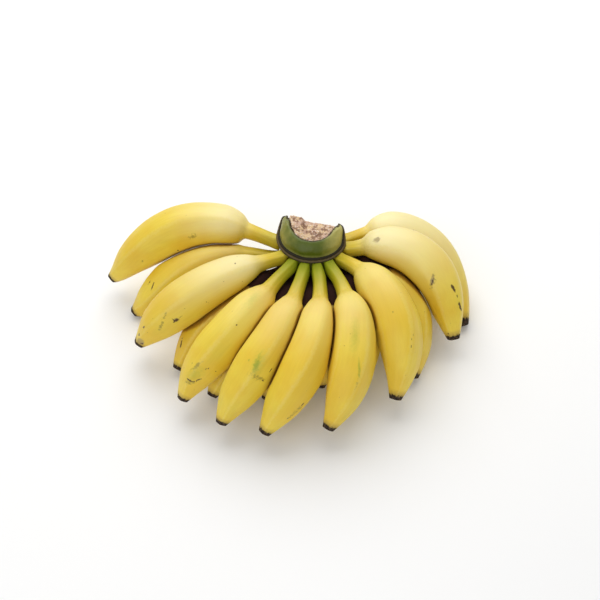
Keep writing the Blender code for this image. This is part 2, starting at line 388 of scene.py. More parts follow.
def press(points, finger, others):
    """Draws the skin in where neighbours meet, so that each pair shares a flattened face.

    Gives the line's nearest places, the spokes from there, how much of each is left, and how far each
    point was past the halfway surface."""
    middle, radius = nearest(points, finger)
    spoke = points - middle
    own_share = np.linalg.norm(spoke, axis=1) / radius
    drawn, closest = np.ones(len(points)), np.full(len(points), NOT_NEAR)
    for other in close_by(finger, others):
        room = crowding(points, own_share, radius, other)
        closest = np.maximum(closest, room)
        tight = np.flatnonzero(room > 0)
        at, out, thick, share = middle[tight], spoke[tight], radius[tight], own_share[tight]
        low, high = np.zeros(len(tight)), np.ones(len(tight))
        for _ in range(BISECTIONS if len(tight) else 0):
            half = (low + high) / 2
            inside = crowding(at + out * half[:, None], share * half, thick, other) <= 0
            low, high = np.where(inside, half, low), np.where(inside, high, half)
        drawn[tight] = np.minimum(drawn[tight], low)
    return middle, spoke, drawn, closest


# Marks on the peel: finger, kind, place along it (0 to 1), degrees round it (90 is the top), length
# and width in millimetres, and lean in degrees off the finger's line
MARKS = (
    ("upper_finger_1", "speck", 0.54, -176, 1.8, 1.6, 0),
    ("upper_finger_1", "speck", 0.71, 178, 1.6, 1.2, 0),
    ("upper_finger_1", "scuff", 0.75, 163, 3.0, 2.4, 20),
    ("upper_finger_1", "scuff", 0.43, 159, 7.0, 4.0, 10),
    ("upper_finger_1", "speck", 0.46, -177, 0.9, 0.8, 0),
    ("upper_finger_2", "speck", 0.29, 102, 1.7, 1.4, 0),
    ("upper_finger_2", "speck", 0.50, 165, 3.7, 0.8, -68),
    ("upper_finger_2", "speck", 0.68, 159, 4.9, 2.4, 0),
    ("upper_finger_2", "speck", 0.69, 151, 4.9, 0.8, -77),
    ("upper_finger_2", "speck", 0.66, 159, 4.3, 1.0, 6),
    ("upper_finger_2", "scuff", 0.70, 129, 6.7, 1.6, 27),
    ("upper_finger_2", "scuff", 0.76, 145, 13.4, 3.0, 27),
    ("upper_finger_2", "speck", 0.85, 111, 2.4, 1.6, 0),
    ("upper_finger_2", "speck", 0.85, 136, 1.2, 1.0, 0),
    ("upper_finger_2", "speck", 0.92, 109, 2.8, 2.0, 0),
    ("upper_finger_2", "speck", 0.90, 178, 1.2, 1.0, 0),
    ("upper_finger_2", "speck", 0.96, 159, 2.8, 2.6, 0),
    ("upper_finger_2", "bruise", 0.95, 140, 8.0, 6.0, 10),
    ("upper_finger_2", "bruise", 0.68, 157, 5.5, 3.2, -30),
    ("upper_finger_3", "tinge", 0.38, 100, 22.0, 9.0, 5),
    ("upper_finger_3", "speck", 0.52, 117, 1.3, 1.2, 0),
    ("upper_finger_3", "speck", 0.83, 65, 1.2, 1.0, 0),
    ("upper_finger_3", "speck", 0.78, 91, 1.4, 1.0, 0),
    ("upper_finger_3", "speck", 0.85, 115, 6.1, 1.2, -80),
    ("upper_finger_3", "speck", 0.83, 137, 6.5, 1.2, -37),
    ("upper_finger_3", "speck", 0.75, 138, 4.5, 1.1, -34),
    ("upper_finger_3", "tinge", 0.81, 120, 20.0, 12.0, -20),
    ("upper_finger_3", "scuff", 0.86, 118, 9.0, 4.6, -60),
    ("upper_finger_3", "scuff", 0.77, 108, 10.0, 4.0, -10),
    ("upper_finger_3", "speck", 0.74, 163, 1.1, 0.9, 0),
    ("upper_finger_3", "speck", 0.53, 159, 2.7, 0.9, -7),
    ("upper_finger_4", "smear", 0.65, 91, 2.2, 2.2, 0),
    ("upper_finger_4", "tinge", 0.64, 116, 24.0, 12.0, 20),
    ("upper_finger_4", "smear", 0.65, 114, 16.0, 5.0, 22),
    ("upper_finger_4", "scuff", 0.69, 136, 15.0, 3.0, -83),
    ("upper_finger_4", "speck", 0.70, 126, 4.0, 0.8, -87),
    ("upper_finger_4", "speck", 0.69, 153, 4.4, 0.9, -78),
    ("upper_finger_4", "speck", 0.63, 154, 4.6, 1.2, 0),
    ("upper_finger_5", "speck", 0.88, 115, 1.0, 0.8, 0),
    ("upper_finger_5", "scuff", 0.82, 170, 15.0, 2.6, -8),
    ("upper_finger_5", "speck", 0.78, 171, 4.0, 1.0, -8),
    ("upper_finger_5", "speck", 0.86, 168, 5.0, 1.0, -14),
    ("upper_finger_6", "smear", 0.69, 117, 15.0, 2.4, 20),
    ("upper_finger_6", "scuff", 0.75, 124, 9.0, 1.6, 14),
    ("upper_finger_6", "speck", 0.66, 120, 1.1, 0.9, 0),
    ("upper_finger_6", "tinge", 0.55, 92, 30.0, 9.0, 0),
    ("upper_finger_6", "speck", 0.65, 105, 1.1, 0.9, 0),
    ("upper_finger_6", "speck", 0.83, 96, 1.0, 0.8, 0),
    ("upper_finger_6", "speck", 0.86, 48, 3.0, 1.0, 0),
    ("upper_finger_7", "speck", 0.69, 110, 6.0, 0.9, -24),
    ("upper_finger_7", "speck", 0.73, 109, 1.6, 1.4, 0),
    ("upper_finger_7", "scuff", 0.55, 74, 2.4, 2.0, 0),
    ("upper_finger_8", "speck", 0.65, 48, 7.0, 1.3, -44),
    ("upper_finger_8", "scuff", 0.65, 49, 12.7, 4.0, -43),
    ("upper_finger_8", "speck", 0.68, 110, 1.2, 1.0, 0),
    ("upper_finger_8", "speck", 0.73, 95, 5.0, 2.4, 26),
    ("upper_finger_8", "speck", 0.77, 102, 6.8, 0.8, 18),
    ("upper_finger_8", "speck", 0.83, 111, 6.0, 1.8, 23),
    ("upper_finger_8", "speck", 0.96, 40, 1.3, 1.1, 0),
    ("upper_finger_8", "bruise", 0.20, 66, 5.0, 4.5, 20),
    ("upper_finger_8", "bruise", 0.64, 50, 7.0, 3.4, -43),
    ("lower_finger_1", "speck", 0.73, 83, 5.6, 1.3, 1),
    ("lower_finger_1", "speck", 0.72, 104, 7.1, 1.5, 31),
    ("lower_finger_2", "speck", 0.80, 75, 8.7, 1.8, 15),
    ("lower_finger_8", "speck", 0.49, 83, 2.8, 1.0, 4),
)


# The kinds of mark, lowest layer first: name, how broken and how soft its edge is, strength and colour
MARK_KINDS = (
    ("tinge", 0.8, 1.2, 0.5, "#A8AC2E"),
    ("smear", 1.2, 1.0, 0.75, "#8C9C26"),
    ("scuff", 2.6, 0.9, 0.62, "#857428"),
    ("bruise", 0.9, 0.5, 0.7, "#94805A"),
    ("speck", 1.6, 0.35, 0.95, "#4A3312"),
)


def marked(finger, kind, way, turn, girth):
    """How deep inside a mark of this kind each vertex lies: 1 in its middle, 0 at its edge."""
    depth = np.full(len(way), NOT_MARKED)
    for name, sort, at, degrees, length, width, lean in MARKS:
        if name != finger.name or sort != kind:
            continue
        along = (way - at) * finger.length / MM
        swing = (turn - math.radians(degrees) + math.pi) % (2 * math.pi) - math.pi
        across = swing * girth / MM
        cos, sin = math.cos(math.radians(lean)), math.sin(math.radians(lean))
        run, off = along * cos + across * sin, across * cos - along * sin
        reach = np.hypot(run / (length / 2), off / (width / 2))
        depth = np.maximum(depth, 1 - reach)
    return depth


def stations(finger):
    """Each ring's place along the finger and its radius, from the root's pole to the scar's pole."""
    blunt = finger.radius(np.array([1.0]))[0]
    body = RINGS + 1 - 2 * CAP_RINGS
    root = [(-ROOT, part * PEDICEL_RADIUS) for part in np.linspace(0, 1, CAP_RINGS, endpoint=False)]
    tip = [(finger.length + rise * MM, part * blunt) for rise, part in BLOSSOM_SCAR]
    ways = np.concatenate([[-ROOT / finger.length], np.linspace(0, 1, body - 1)])
    flare = 1 + FLARE * np.exp(-np.maximum(ways, 0) * finger.length / FLARE_RUN)
    girths = finger.radius(ways) * flare
    before, after = ([at / finger.length for at, _ in cap] for cap in (root, tip))
    thick = np.concatenate([[part for _, part in root], girths, [part for _, part in tip]])
    return np.concatenate([before, ways, after]), thick


def painted_gap_shade(finger, points, turn):
    """Painted shade between the rows, nearly black, on top of the lower fingers but the outer two."""
    if not finger.name.startswith("lower") or finger.name in ("lower_finger_1", "lower_finger_8"):
        return np.zeros(len(points))
    out = np.linalg.norm(points[:, :2] - np.array(CROWN_AXIS)[:2], axis=1)
    return smooth_step(*GAP_SHADE_END, out) * smooth_step(*GAP_SHADE_SIDES, np.sin(turn))


def eased(drawn, ring, turn):
    """Spreads the drawn-in places a little, so that no sharp edge runs round a flattened face."""
    grid = np.lexsort((turn, ring))[1:-1].reshape(-1, SIDES)
    soft = drawn[grid]
    for _ in range(EASING):
        soft = (soft + (np.roll(soft, 1, axis=1) + np.roll(soft, -1, axis=1)) / 2) / 2
        soft[1:-1] = (soft[1:-1] + (soft[:-2] + soft[2:]) / 2) / 2
        soft = np.minimum(soft, drawn[grid])
    smooth = drawn.copy()
    smooth[grid] = soft
    return smooth


def peel_piece(finger, others, number, material):
    """One finger's peel: a ball that is drawn out along the line and pressed against its neighbours."""
    work = bmesh.new()
    bmesh.ops.create_uvsphere(work, u_segments=SIDES, v_segments=RINGS, radius=1)
    ball = np.array([vertex.co[:] for vertex in work.verts])
    ring = np.rint(np.arccos(np.clip(ball[:, 2], -1, 1)) / math.pi * RINGS).astype(int)
    turn = np.arctan2(ball[:, 1], ball[:, 0])
    ways, girths = stations(finger)
    way, girth = ways[ring], girths[ring]

    # The line's own frame: sideways stays level, upwards leans with the line
    middle = finger.point(way)
    ahead = finger.point(way + STEP_ALONG) - finger.point(way - STEP_ALONG)
    ahead /= np.linalg.norm(ahead, axis=1, keepdims=True)
    side = np.cross(ahead, (0, 0, 1))
    side /= np.linalg.norm(side, axis=1, keepdims=True)
    up = np.cross(side, ahead)

    # Five soft corners and an uneven growth, worked out as if the finger were straight
    corner_turn = TURNED[number % len(TURNED)]
    rise = CORNER_RISE + TIP_RISE * smooth_step(*TIP_RUN, way)
    rise = rise + PEDICEL_RISE * smooth_step(finger.neck, 0, way)
    ridge = np.cos(CORNERS * (turn - corner_turn))
    out = 1 + rise * (ridge + FLATTENING * np.cos(2 * CORNERS * (turn - corner_turn)))
    straight = np.stack([np.cos(turn) * girth, np.sin(turn) * girth, way * finger.length], axis=1)
    seed = FIRST_SEED + number
    out += waves(straight, [(part, grain, seed + more) for part, grain, more in GROWTH])
    out *= girth
    across, upward = np.cos(turn) * WIDE * out, np.sin(turn) * TALL * out
    points = middle + side * across[:, None] + up * upward[:, None]
    middle, spoke, drawn, room = press(points, finger, others)
    points = middle + spoke * eased(drawn, ring, turn)[:, None]
    points[:, 2] = np.maximum(points[:, 2], ABOVE_TABLE)
    for vertex, point in zip(work.verts, points):
        vertex.co = point
    piece = finished(work, "peel_of_" + finger.name, material)
    mesh = piece.data

    along = way * finger.length
    past_neck = (way - finger.neck) * finger.length
    stamp(mesh, "straight", straight + np.array([0, 0, number * PATTERN_STEP]))
    stamp(mesh, "from_tip", (1 - way) * finger.length / MM)
    # A painted highlight on the upper side of the peel, strongest on the shoulder
    strength, end = PAINTED_HIGHLIGHT.get(finger.name, FAINT_PAINTED_HIGHLIGHT)
    painted_highlight = strength * smooth_step(end, HIGHLIGHT_FULL, past_neck) * smooth_step(*HIGHLIGHT_START, past_neck)
    stamp(mesh, "painted_highlight", painted_highlight * smooth_step(*HIGHLIGHT_SIDES, np.sin(turn)))
    run = GREEN_RUN * max(finger.neck * finger.length, SHORTEST_RUN)
    stamp(mesh, "green", GREEN.get(finger.name, MOST_GREEN) * (1 - along / run))
    stamp(mesh, "ridge", ridge)
    # Painted shade where neighbours press together
    stamp(mesh, "painted_contact_shade", smooth_step(-CONTACT_SHADE_EDGE, 0.0, room))
    # Painted shade, nearly black, on top of the lower fingers between the rows
    stamp(mesh, "gap_shade", painted_gap_shade(finger, points, turn))
    for kind, *_ in MARK_KINDS:
        stamp(mesh, kind, marked(finger, kind, way, turn, girth))
    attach(piece, "root")
    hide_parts(finger.name)


def peel_material():
    """Ripe banana peel, waxy: bright yellow with long fibres, green at the pedicel, brown at the scar."""
    made, tree, shader = new_material("ripe_banana_peel_waxy")
    straight = add(tree, "Attribute", {}, attribute_name="straight").outputs["Vector"]
    kinds = [kind for kind, *_ in MARK_KINDS]
    read = {
        name: add(tree, "Attribute", {}, attribute_name=name).outputs["Fac"]
        for name in ["from_tip", "painted_highlight", "green", "ridge", "painted_contact_shade", "gap_shade"] + kinds
    }

    crumb = add(tree, "TexNoise", {"Vector": straight, "Scale": 1 / (1.4 * MM), "Detail": 4.0})

    # Cloudy ripening, 28 mm across, from lemon to golden yellow
    cloud = add(tree, "TexNoise", {"Vector": straight, "Scale": 1 / (28 * MM), "Detail": 2.0})
    cloudy = add(tree, "MapRange", {0: cloud, 1: 0.35, 2: 0.65}, **SOFT)
    yellow = add(tree, "Mix", {0: cloudy, 6: colour("#E9CF45"), 7: colour("#E4C034")}, **BLEND).outputs[2]

    # Fibres under the skin, 1.2 mm apart and twelve times as long
    stretched = add(tree, "Mapping", {"Vector": straight, "Scale": (1, 1, 1 / 12)})
    fibre = add(tree, "TexNoise", {"Vector": stretched, "Scale": 1 / (1.2 * MM), "Detail": 3.0})
    fibrous = add(tree, "MapRange", {0: fibre, 1: 0.3, 2: 0.7, 3: 0.0, 4: 0.22})
    yellow = add(tree, "Mix", {0: fibrous, 6: yellow, 7: colour("#D3AE2E")}, **BLEND).outputs[2]

    # Greenish shade left in long patches on the flanks, 16 mm wide
    long = add(tree, "Mapping", {"Vector": straight, "Scale": (1, 1, 0.35), "Location": (0.3, 0.1, 0)})
    patch = add(tree, "TexNoise", {"Vector": long, "Scale": 1 / (16 * MM), "Detail": 3.0})
    patchy = add(tree, "MapRange", {0: patch, 1: 0.55, 2: 0.75, 3: 0.0, 4: 0.3}, **SOFT)
    yellow = add(tree, "Mix", {0: patchy, 6: yellow, 7: colour("#CDBE3C")}, **BLEND).outputs[2]

    # A painted highlight on the upper side, strongest on the shoulder
    yellow = add(tree, "Mix", {0: read["painted_highlight"], 6: yellow, 7: colour("#F3E6AC")}, **BLEND).outputs[2]

    # Worn, paler ridges
    worn = add(tree, "Math", {0: crumb, 1: 0.5, 2: read["ridge"]}, operation="MULTIPLY_ADD")
    worn = add(tree, "MapRange", {0: worn, 1: 1.02, 2: 1.3, 3: 0.0, 4: 0.3}, **SOFT)
    yellow = add(tree, "Mix", {0: worn, 6: yellow, 7: colour("#EBD678")}, **BLEND).outputs[2]

    # Painted shade: a deeper, browner yellow where neighbours press together
    yellow = add(tree, "Mix", {0: read["painted_contact_shade"], 6: yellow, 7: colour("#B0862A")}, **BLEND).outputs[2]

    # Green from the crown over the pedicel, in streaks, deepest next to the crown
    green = add(tree, "Math", {0: fibre, 1: 0.3, 2: read["green"]}, operation="MULTIPLY_ADD")
    tinted = add(tree, "MapRange", {0: green, 1: 0.2, 2: 0.8}, **SOFT)
    skin = add(tree, "Mix", {0: tinted, 6: yellow, 7: colour("#B0A41A")}, **BLEND).outputs[2]
    deep = add(tree, "MapRange", {0: green, 1: 0.6, 2: 1.3}, **SOFT)
    skin = add(tree, "Mix", {0: deep, 6: skin, 7: colour("#8A9614")}, **BLEND).outputs[2]

    # Marks: green tinges and smears, olive scuffs, grey bruises and dark specks, their edges broken up
    broken = add(tree, "Math", {0: crumb, 1: 0.5}, operation="SUBTRACT")
    for kind, roughness, soft, strength, tone in MARK_KINDS:
        edge = add(tree, "Math", {0: broken, 1: roughness, 2: read[kind]}, operation="MULTIPLY_ADD")
        mark = add(tree, "MapRange", {0: edge, 1: 0.0, 2: soft, 3: 0.0, 4: strength}, **SOFT)
        skin = add(tree, "Mix", {0: mark, 6: skin, 7: colour(tone)}, **BLEND).outputs[2]

    # Freckles of ripeness, under a millimetre across and 7 mm apart
    dots = add(tree, "TexVoronoi", {"Vector": straight, "Scale": 1 / (7 * MM)})
    freckle = add(tree, "MapRange", {0: dots, 1: 0.055, 2: 0.02, 3: 0.0, 4: 0.6})
    skin = add(tree, "Mix", {0: freckle, 6: skin, 7: colour("#6B4A1A")}, **BLEND).outputs[2]

    # The blossom scar: dry and nearly black, with a brown edge that runs unevenly up the peel
    uneven = add(tree, "Math", {0: broken, 1: 2.6, 2: read["from_tip"]}, operation="MULTIPLY_ADD")
    tan = add(tree, "MapRange", {0: uneven, 1: 6.5, 2: 2.2, 3: 0.0, 4: 0.6}, **SOFT)
    skin = add(tree, "Mix", {0: tan, 6: skin, 7: colour("#9A7A34")}, **BLEND).outputs[2]
    dry = add(tree, "MapRange", {0: uneven, 1: 3.0, 2: 1.7}, **SOFT)
    ashy = add(tree, "MapRange", {0: crumb, 1: 0.45, 2: 0.62}, **SOFT)
    husk = add(tree, "Mix", {0: ashy, 6: colour("#24180F"), 7: colour("#4C3C2C")}, **BLEND).outputs[2]
    skin = add(tree, "Mix", {0: dry, 6: skin, 7: husk}, **BLEND).outputs[2]

    # Painted shade, nearly black, where the rows lie close together
    gap_shade_edge = add(tree, "Math", {0: broken, 1: 0.8, 2: read["gap_shade"]}, operation="MULTIPLY_ADD")
    gap_shaded = add(tree, "MapRange", {0: gap_shade_edge, 1: 0.15, 2: 0.7}, **SOFT)
    skin = add(tree, "Mix", {0: gap_shaded, 6: skin, 7: colour("#2A0C03")}, **BLEND).outputs[2]
    tree.links.new(skin, shader.inputs["Base Color"])

    # Wax: a soft sheen, duller on the scar and on the painted shade between the rows; pores half a millimetre
    # apart and shallow fibres
    matt = add(tree, "Math", {0: dry, 1: gap_shaded}, operation="MAXIMUM")
    dull = add(tree, "MapRange", {0: matt, 3: 0.42, 4: 1.0})
    tree.links.new(dull.outputs[0], shader.inputs["Roughness"])
    pore = add(tree, "TexNoise", {"Vector": straight, "Scale": 1 / (0.6 * MM), "Detail": 2.0})
    relief = add(tree, "Math", {0: fibre, 1: 1.5, 2: pore}, operation="MULTIPLY_ADD")
    bump = add(tree, "Bump", {"Height": relief, "Strength": 0.25, "Distance": 0.12 * MM})
    tree.links.new(bump.outputs[0], shader.inputs["Normal"])
    shader.inputs["IOR"].default_value = 1.45
    shader.inputs["Subsurface Weight"].default_value = 0.12
    shader.inputs["Subsurface Radius"].default_value = (1.0, 0.7, 0.12)
    shader.inputs["Subsurface Scale"].default_value = 2 * MM
    return made


# Crown

CROWN_RADIUS = 21.3 * MM
CROWN_BOTTOM = 28.0 * MM
SCAR_HEIGHT = 54.2 * MM
RIM_RADIUS = 16.0 * MM
RIM_HEIGHT = 67.0 * MM
WALL = 2.4 * MM
# Steps round the crown's skin and pith, and round the finer scar ring
CROWN_STEPS = 72
RING_STEPS = 96
# How often a turned outline is subdivided, and how near its corners are when they merge
ROUNDING = 2
MERGED = 0.02 * MM
# The least distance from the axis that is divided by
NEAR_AXIS = 1 * MM
# Next to the cut the band between rim and scar narrows to a horn that ends round
HORN_LENGTH = 12.0 * MM
HORN_PINCH = 0.8
HORN_MIDDLE = 16.0 * MM
HORN_ROUND = 3.4 * MM
HORN_DROP = 1.8 * MM
HORN_END = 1.8 * MM
HORN_THINNING = 0.75
HORN_SMOOTHINGS = 14
SMOOTHED_ABOVE = SCAR_HEIGHT + 3 * MM
# The pinch comes in between these heights and in this outer band. It draws points to this far
# outside the rim's circle, by this share, and up to this far under the rim
PINCH_HEIGHTS = (SCAR_HEIGHT - 9 * MM, SCAR_HEIGHT - 2 * MM)
PINCH_BAND = 3 * MM
PINCH_OUT = 2 * MM
PINCH_SHARE = 0.7
PINCH_UNDER = 2 * MM
# The rim dips in front
FRONT_DIP = 2.2 * MM
DIP_RUN = 14 * MM
# The cut: where it crosses behind the axis and at what height, its lean and its turn
CUT_OFFSET = 14.0 * MM
CUT_HEIGHT = 40.0 * MM
CUT_LEAN = math.radians(24)
CUT_TURN = math.radians(-13)
# Behind its axis the crown runs straight back, as the stalk did, and is round again at the very back
STRAIGHT_BACK = 0.6
BACK_FADE = (math.radians(75), math.radians(35))

# Unevenness: height, grain and seed. PITH_RELIEF turns the pith's heights into millimetres
SKIN_SWELL = ((0.35 * MM, 6 * MM, 4.0), (0.12 * MM, 1.8 * MM, 9.0))
RING_BEND = ((0.4 * MM, 9 * MM, 2.0),)
RING_CRUMBLE = ((0.16 * MM, 1.6 * MM, 6.0),)
# The bend is read with heights shrunk by this, so that the ring bends as one. It also goes outwards
RING_FLAT = (1, 1, 0.2)
RING_OUT = 0.5
PITH_GRAIN = ((0.9, 3.2 * MM, 1.0), (0.7, 1.2 * MM, 5.0))
PITH_RELIEF = 0.6
PITH_VOXEL = 0.4 * MM
# The pith stands out of the cut by the first, and next to it widens by the next above these heights
PITH_OUT = 0.2 * MM
PITH_WIDENING = 0.09
PITH_WIDE = (SCAR_HEIGHT - 2 * MM, SCAR_HEIGHT + 5 * MM)
# Its crest is torn up at the left and sinks at the back, in millimetres
PITH_CREST = (RIM_HEIGHT - 6 * MM, RIM_HEIGHT - 2 * MM)
TORN_SIDE = (-4 * MM, -7 * MM)
TORN_RISE = 1.6
SUNK_BACK = (-8 * MM, 2 * MM)
BACK_SINK = 2.2


def cut_plane():
    """A point on the cut and the way that it faces."""
    facing = Vector((0, math.cos(CUT_LEAN), math.sin(CUT_LEAN)))
    facing.rotate(Matrix.Rotation(CUT_TURN, 3, "Z"))
    return Vector((0, CUT_OFFSET, CUT_HEIGHT)), facing


def behind_cut(spots):
    """How far inside the cut each place lies."""
    spot, facing = cut_plane()
    return -(spots - np.array(spot)) @ np.array(facing)


def turned(profile, steps):
    """Turns a closed outline of (out, height) in millimetres round the crown's axis."""
    work = bmesh.new()
    spots = [work.verts.new((out * MM, 0, height * MM)) for out, height in profile]
    for start, end in zip(spots, spots[1:]):
        work.edges.new((start, end))
    if profile[0][0] > 0:
        work.edges.new((spots[-1], spots[0]))
    bmesh.ops.spin(work, geom=work.verts[:] + work.edges[:], cent=(0, 0, 0), axis=(0, 0, 1),
        angle=2 * math.pi, steps=steps, use_merge=True)
    bmesh.ops.remove_doubles(work, verts=work.verts, dist=MERGED)
    return work


def widen_back(spots):
    """Moves points behind the axis outwards, so that the sides run straight back."""
    out = np.hypot(spots[:, 0], spots[:, 1])
    past = np.arctan2(np.maximum(spots[:, 1], 0), np.abs(spots[:, 0]))
    side = np.sign(spots[:, 0]) * out * np.cos(STRAIGHT_BACK * past)
    blend = smooth_step(*BACK_FADE, past)
    spots[:, 0] = np.where(spots[:, 1] > 0, spots[:, 0] * (1 - blend) + side * blend, spots[:, 0])
    return spots


def dipped(spots):
    """Lowers the front of the rim."""
    crest = smooth_step(SCAR_HEIGHT, RIM_HEIGHT, spots[:, 2])
    spots[:, 2] -= FRONT_DIP * crest * smooth_step(0, DIP_RUN, -spots[:, 1])
    return spots


def pinched(spots):
    """Draws the scar and the wall above it up to the rim next to the cut, so that horns form."""
    behind = behind_cut(spots)
    upper = smooth_step(*PINCH_HEIGHTS, spots[:, 2])
    near = HORN_PINCH * smooth_step(HORN_LENGTH, 0, behind) * upper
    out = np.maximum(np.hypot(spots[:, 0], spots[:, 1]), NEAR_AXIS)
    outer = smooth_step(RIM_RADIUS - PINCH_BAND, RIM_RADIUS, out)
    narrowed = out + near * outer * (RIM_RADIUS + PINCH_OUT - out) * PINCH_SHARE
    # The end of a horn is round
    last = np.clip(behind / HORN_ROUND, 0, 1)
    blunt = (1 - np.sqrt(1 - (1 - last) ** 2)) * upper
    narrowed = HORN_MIDDLE + (narrowed - HORN_MIDDLE) * (1 - HORN_THINNING * blunt)
    spots[:, :2] *= (narrowed / out)[:, None]
    spots[:, 2] += near * outer * np.maximum(RIM_HEIGHT - PINCH_UNDER - spots[:, 2], 0)
    level = RIM_HEIGHT - HORN_DROP * smooth_step(HORN_LENGTH / 2, 0, behind) - HORN_END * blunt
    spots[:, 2] = np.minimum(spots[:, 2], level)
    return spots


def cut_off(work, offset):
    """Cuts along the plane, moved by the offset, and closes the cut."""
    spot, facing = cut_plane()
    cut = bmesh.ops.bisect_plane(work, geom=work.verts[:] + work.edges[:] + work.faces[:],
        plane_co=spot + facing * offset, plane_no=facing, clear_outer=True)
    rim = [piece for piece in cut["geom_cut"] if isinstance(piece, bmesh.types.BMEdge)]
    closed = bmesh.ops.holes_fill(work, edges=rim, sides=0)
    bmesh.ops.triangulate(work, faces=closed["faces"], ngon_method="BEAUTY")


def rounded(piece):
    """Rounds a piece with a subdivision surface and keeps the result as its mesh."""
    round_off = piece.modifiers.new("round_off", "SUBSURF")
    round_off.levels = ROUNDING
    round_off.render_levels = ROUNDING
    keep_result(piece)
    return piece


def keep_result(piece):
    """Makes what the piece's modifiers show its own mesh."""
    shape = piece.evaluated_get(bpy.context.evaluated_depsgraph_get())
    mesh = bpy.data.meshes.new_from_object(shape)
    piece.modifiers.clear()
    piece.data = mesh
    mesh.shade_smooth()


def to_axis(piece):
    """Sets a piece of the crown on its axis and ties it to the body."""
    piece.data.transform(Matrix.Translation(CROWN_AXIS))
    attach(piece, "root")
    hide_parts("crown")


def soften_horns(mesh):
    """Wears the horns' ends round."""
    spot, facing = cut_plane()
    work = bmesh.new()
    work.from_mesh(mesh)
    ends = [v for v in work.verts if (spot - v.co).dot(facing) < HORN_ROUND and v.co.z > SMOOTHED_ABOVE]
    for _ in range(HORN_SMOOTHINGS):
        bmesh.ops.smooth_vert(work, verts=ends, factor=0.5, use_axis_x=True, use_axis_y=True, use_axis_z=True)
    work.to_mesh(mesh)
    work.free()


def crown_skin(material):
    """The green wall of the crown: a thick skin round the pith, open behind at the cut."""
    rim, scar, wide, low = RIM_HEIGHT / MM, SCAR_HEIGHT / MM, CROWN_RADIUS / MM, CROWN_BOTTOM / MM
    edge, wall = RIM_RADIUS / MM, WALL / MM
    outline = (
        (edge - wall, rim - 1.6), (edge - wall + 0.7, rim - 0.2), (edge - 0.4, rim),
        (edge + 1.2, rim - 0.8), (edge + 3.4, rim - 3.4), (edge + 4.9, rim - 6.6),
        (wide - 0.5, scar + 2.4), (wide, scar),
        (wide, scar - 4), (wide, low + 5), (0.85 * wide, low + 1.5), (0.55 * wide, low), (0.2 * wide, low),
        (0.2 * wide, low + 2.2), (0.8 * wide, low + 4), (wide - wall, low + 7), (wide - wall, scar - 3),
        (wide - wall - 1.5, scar + 1), (edge - wall - 0.1, rim - 5),
    )
    work = turned(outline, CROWN_STEPS)
    cut_off(work, 0)
    piece = rounded(finished(work, "crown_green_skin", material))
    spots = places_of(piece.data)
    stamp(piece.data, "from_cut", behind_cut(spots) / MM)
    stamp(piece.data, "leftward", -spots[:, 0] / CROWN_RADIUS)
    stamp(piece.data, "above_scar", (spots[:, 2] - SCAR_HEIGHT) / MM)
    stamp(piece.data, "outward", np.hypot(spots[:, 0], spots[:, 1]) / MM)
    stamp(piece.data, "straight", spots)
    spots = dipped(pinched(spots))
    out = np.hypot(spots[:, 0], spots[:, 1])
    spots[:, :2] *= (1 + waves(spots, SKIN_SWELL) / np.maximum(out, NEAR_AXIS))[:, None]
    place(piece.data, widen_back(spots))
    soften_horns(piece.data)
    to_axis(piece)


def scar_ring(material):
    """The bract scar: a dried double lip round the crown, over the pedicels' roots."""
    wide, scar = CROWN_RADIUS / MM, SCAR_HEIGHT / MM
    outline = (
        (wide - 1.2, scar + 1.2), (wide + 0.2, scar + 1.5), (wide + 0.9, scar + 1.2),
        (wide + 1.0, scar + 0.5), (wide + 0.9, scar + 0.1), (wide + 1.6, scar - 0.2),
        (wide + 2.2, scar - 0.6), (wide + 2.3, scar - 1.3), (wide + 1.4, scar - 1.9),
        (wide - 1.2, scar - 1.8),
    )
    work = turned(outline, RING_STEPS)
    cut_off(work, 0)
    piece = rounded(finished(work, "crown_scar_ring", material))
    spots = places_of(piece.data)
    stamp(piece.data, "above_scar", (spots[:, 2] - SCAR_HEIGHT) / MM)
    stamp(piece.data, "straight", spots)
    spots = pinched(spots)
    bend = waves(spots * RING_FLAT, RING_BEND) + waves(spots, RING_CRUMBLE)
    spots[:, 2] += bend
    out = np.hypot(spots[:, 0], spots[:, 1])
    spots[:, :2] *= (1 + RING_OUT * bend / out)[:, None]
    place(piece.data, widen_back(spots))
    to_axis(piece)


def cut_pith(material):
    """The cut flesh inside the skin: granular, with torn fibre ends."""
    rim, scar, wide, low = RIM_HEIGHT / MM, SCAR_HEIGHT / MM, CROWN_RADIUS / MM, CROWN_BOTTOM / MM
    edge, wall = RIM_RADIUS / MM, WALL / MM
    outline = (
        (0, rim - 0.9), (6, rim - 0.9), (edge - wall, rim - 1.6), (edge - wall + 0.5, rim - 5),
        (wide - wall - 1, scar + 1), (wide - wall + 0.5, scar - 3), (wide - wall + 0.5, low + 7),
        (0.8 * wide, low + 3.5), (0, low + 2),
    )
    work = turned(outline, CROWN_STEPS)
    cut_off(work, PITH_OUT)
    piece = finished(work, "crown_cut_pith", material)
    fine = piece.modifiers.new("fine", "REMESH")
    fine.mode = "VOXEL"
    fine.voxel_size = PITH_VOXEL
    keep_result(piece)
    spots = places_of(piece.data)
    near = smooth_step(HORN_LENGTH / 2, 0, behind_cut(spots))
    spots[:, :2] *= (1 + PITH_WIDENING * smooth_step(*PITH_WIDE, spots[:, 2]) * near)[:, None]
    spots = widen_back(dipped(spots))
    normals = np.empty(len(spots) * 3, np.float32)
    piece.data.vertices.foreach_get("normal", normals)
    height = waves(spots, PITH_GRAIN)
    torn = smooth_step(*TORN_SIDE, spots[:, 0])
    spots += normals.reshape(-1, 3) * (height * PITH_RELIEF * MM)[:, None]
    crest = smooth_step(*PITH_CREST, spots[:, 2])
    back = smooth_step(*SUNK_BACK, spots[:, 1])
    spots[:, 2] += crest * (torn * TORN_RISE - back * (1 - torn) * BACK_SINK) * MM
    place(piece.data, spots)
    stamp(piece.data, "grain", height)
    stamp(piece.data, "straight", spots)
    piece.data.materials.clear()
    piece.data.materials.append(material)
    to_axis(piece)


